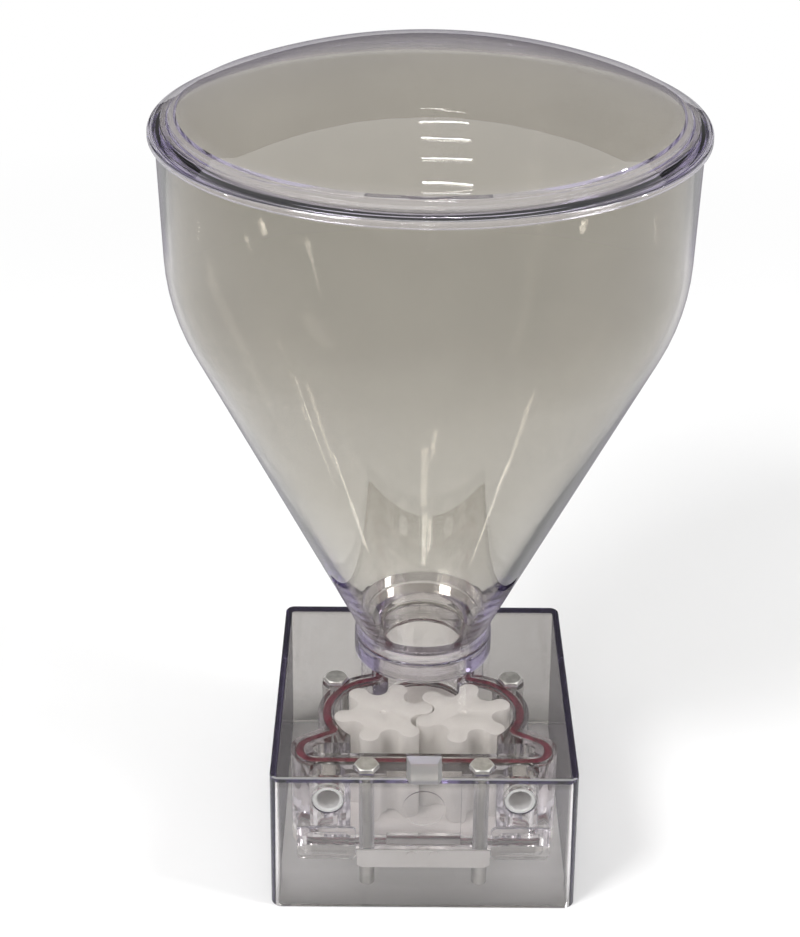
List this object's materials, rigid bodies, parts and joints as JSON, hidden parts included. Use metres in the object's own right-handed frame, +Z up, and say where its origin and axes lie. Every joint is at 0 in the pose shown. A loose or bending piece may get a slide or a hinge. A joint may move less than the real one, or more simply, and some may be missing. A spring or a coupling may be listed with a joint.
{
  "type": "donut filler pump head with hopper",
  "caption": "Clear pastry filler head: a lidded conical hopper on a boxy hood over a gear pump with a cord seal, a bolted white plate and front outlets.",
  "frame": {"origin": "on the hopper's axis, on the surface that the hood stands on", "axes": "+Z up along the hopper's axis, -Y towards the outlets, +X to the right seen from the outlets"},
  "size_m": [0.3114, 0.3114, 0.4817],
  "materials": {
    "clear_plastic": "clear moulded plastic",
    "white_plastic": "white machined plastic",
    "cord_rubber": "dark red cord",
    "seal_rubber": "black",
    "silicone": "pale silicone",
    "steel": "stainless",
    "brass": "turned",
    "sleeve_plastic": "clear tube"
  },
  "bodies": {
    "base": {"hood": "clear_plastic", "pump_body": "clear_plastic", "chamber_seal": "cord_rubber", "plate_seal": "cord_rubber", "bottom_plate": "white_plastic", "drive_bush": "brass", "shaft_seal": "seal_rubber", "idler_axle": "steel", "front_left_bolt": "steel", "front_right_bolt": "steel", "rear_left_bolt": "steel", "rear_right_bolt": "steel", "front_left_insert": "steel", "front_right_insert": "steel", "rear_left_insert": "steel", "rear_right_insert": "steel", "outlet_sleeve_left": "sleeve_plastic", "outlet_sleeve_right": "sleeve_plastic"},
    "hopper": {"hopper": "clear_plastic", "neck_seal": "silicone"},
    "lid": {"lid": "clear_plastic"},
    "drive": {"drive_gear": "white_plastic", "drive_shaft": "steel"},
    "idler": {"idler_gear": "white_plastic", "idler_bush": "brass"}
  },
  "joints": [
    {"name": "hopper_lift", "type": "slide", "parent": "base", "child": "hopper", "axis": [0, 0, 1], "range_m": [0, 0.06]},
    {"name": "lid_lift", "type": "slide", "parent": "hopper", "child": "lid", "axis": [0, 0, 1], "range_m": [0, 0.12]},
    {"name": "drive_turn", "type": "hinge", "parent": "base", "child": "drive", "pos_m": [-0.0243, -0.07, 0.0655], "axis": [0, 0, 1], "continuous": true},
    {"name": "idler_turn", "type": "hinge", "parent": "base", "child": "idler", "pos_m": [0.0243, -0.07, 0.0655], "axis": [0, 0, 1], "continuous": true}
  ],
  "couplings": [
    {"joint": "idler_turn", "follows": "drive_turn", "ratio": -1}
  ]
}
